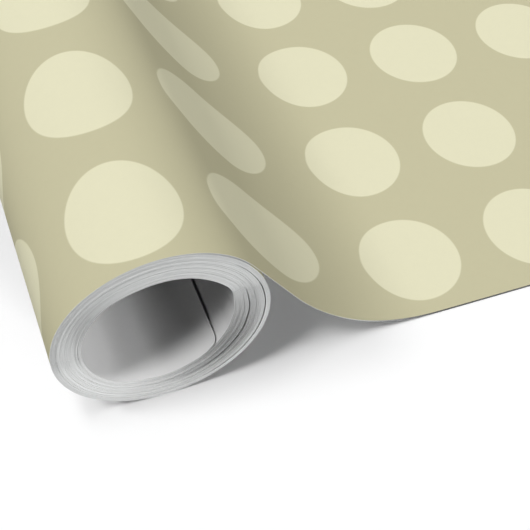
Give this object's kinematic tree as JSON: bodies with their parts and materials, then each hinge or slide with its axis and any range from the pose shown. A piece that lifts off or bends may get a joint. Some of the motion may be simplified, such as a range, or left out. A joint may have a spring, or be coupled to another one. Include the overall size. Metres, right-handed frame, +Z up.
{
  "type": "wrapping paper roll",
  "caption": "Coreless roll of polka dot gift wrapping paper, partly unrolled, with its sheet running down to the floor and lying flat.",
  "frame": {"origin": "bottom centre of the object's box, on the surface that it lies on", "axes": "+X the way the sheet runs out from the roll, +Y along the roll's axis, +Z up"},
  "size_m": [0.3876, 0.762, 0.06],
  "materials": {
    "printed_paper": "satin",
    "plain_paper": "matte"
  },
  "bodies": {
    "sheet_and_outer_turns": {"outer_wraps": "printed_paper", "lead_off": "printed_paper", "sheet_foot": "printed_paper"},
    "middle_turns": {"middle_wraps": "plain_paper"},
    "inner_turns": {"inner_wraps": "plain_paper"},
    "innermost_turns": {"innermost_wraps": "plain_paper"},
    "inner_end": {"inner_end_flap": "plain_paper"},
    "panel_1": {"sheet_panel_1": "printed_paper"},
    "panel_2": {"sheet_panel_2": "printed_paper"},
    "panel_3": {"sheet_panel_3": "printed_paper"},
    "panel_4": {"sheet_panel_4": "printed_paper"},
    "free_end": {"sheet_free_end": "printed_paper"}
  },
  "joints": [
    {"name": "coil_tighten", "type": "hinge", "parent": "sheet_and_outer_turns", "child": "middle_turns", "pos_m": [-0.16385, 0, 0.03], "axis": [0, 1, 0], "range_deg": [-90, 90]},
    {"name": "inner_telescope", "type": "slide", "parent": "middle_turns", "child": "inner_turns", "axis": [0, 1, 0], "range_m": [-0.03, 0.03]},
    {"name": "innermost_telescope", "type": "slide", "parent": "inner_turns", "child": "innermost_turns", "axis": [0, 1, 0], "range_m": [-0.03, 0.03]},
    {"name": "inner_end_spring", "type": "hinge", "parent": "innermost_turns", "child": "inner_end", "pos_m": [-0.16385, 0, 0.00995], "axis": [0, -1, 0], "range_deg": [-3, 20], "stiffness_Nm_per_rad": 0.005, "springref_deg": 1.72},
    {"name": "sheet_curl_1", "type": "hinge", "parent": "sheet_and_outer_turns", "child": "panel_1", "pos_m": [-0.03115, 0, 0.00015], "axis": [0, -1, 0], "range_deg": [0, 30]},
    {"name": "sheet_curl_2", "type": "hinge", "parent": "panel_1", "child": "panel_2", "pos_m": [0.01385, 0, 0.00015], "axis": [0, -1, 0], "range_deg": [0, 30]},
    {"name": "sheet_curl_3", "type": "hinge", "parent": "panel_2", "child": "panel_3", "pos_m": [0.05885, 0, 0.00015], "axis": [0, -1, 0], "range_deg": [0, 30]},
    {"name": "sheet_curl_4", "type": "hinge", "parent": "panel_3", "child": "panel_4", "pos_m": [0.10385, 0, 0.00015], "axis": [0, -1, 0], "range_deg": [0, 30]},
    {"name": "sheet_curl_5", "type": "hinge", "parent": "panel_4", "child": "free_end", "pos_m": [0.14885, 0, 0.00015], "axis": [0, -1, 0], "range_deg": [0, 30]}
  ],
  "couplings": [
    {"joint": "innermost_telescope", "follows": "inner_telescope", "ratio": 1},
    {"joint": "sheet_curl_2", "follows": "sheet_curl_1", "ratio": 1},
    {"joint": "sheet_curl_3", "follows": "sheet_curl_1", "ratio": 1},
    {"joint": "sheet_curl_4", "follows": "sheet_curl_1", "ratio": 1},
    {"joint": "sheet_curl_5", "follows": "sheet_curl_1", "ratio": 1}
  ]
}
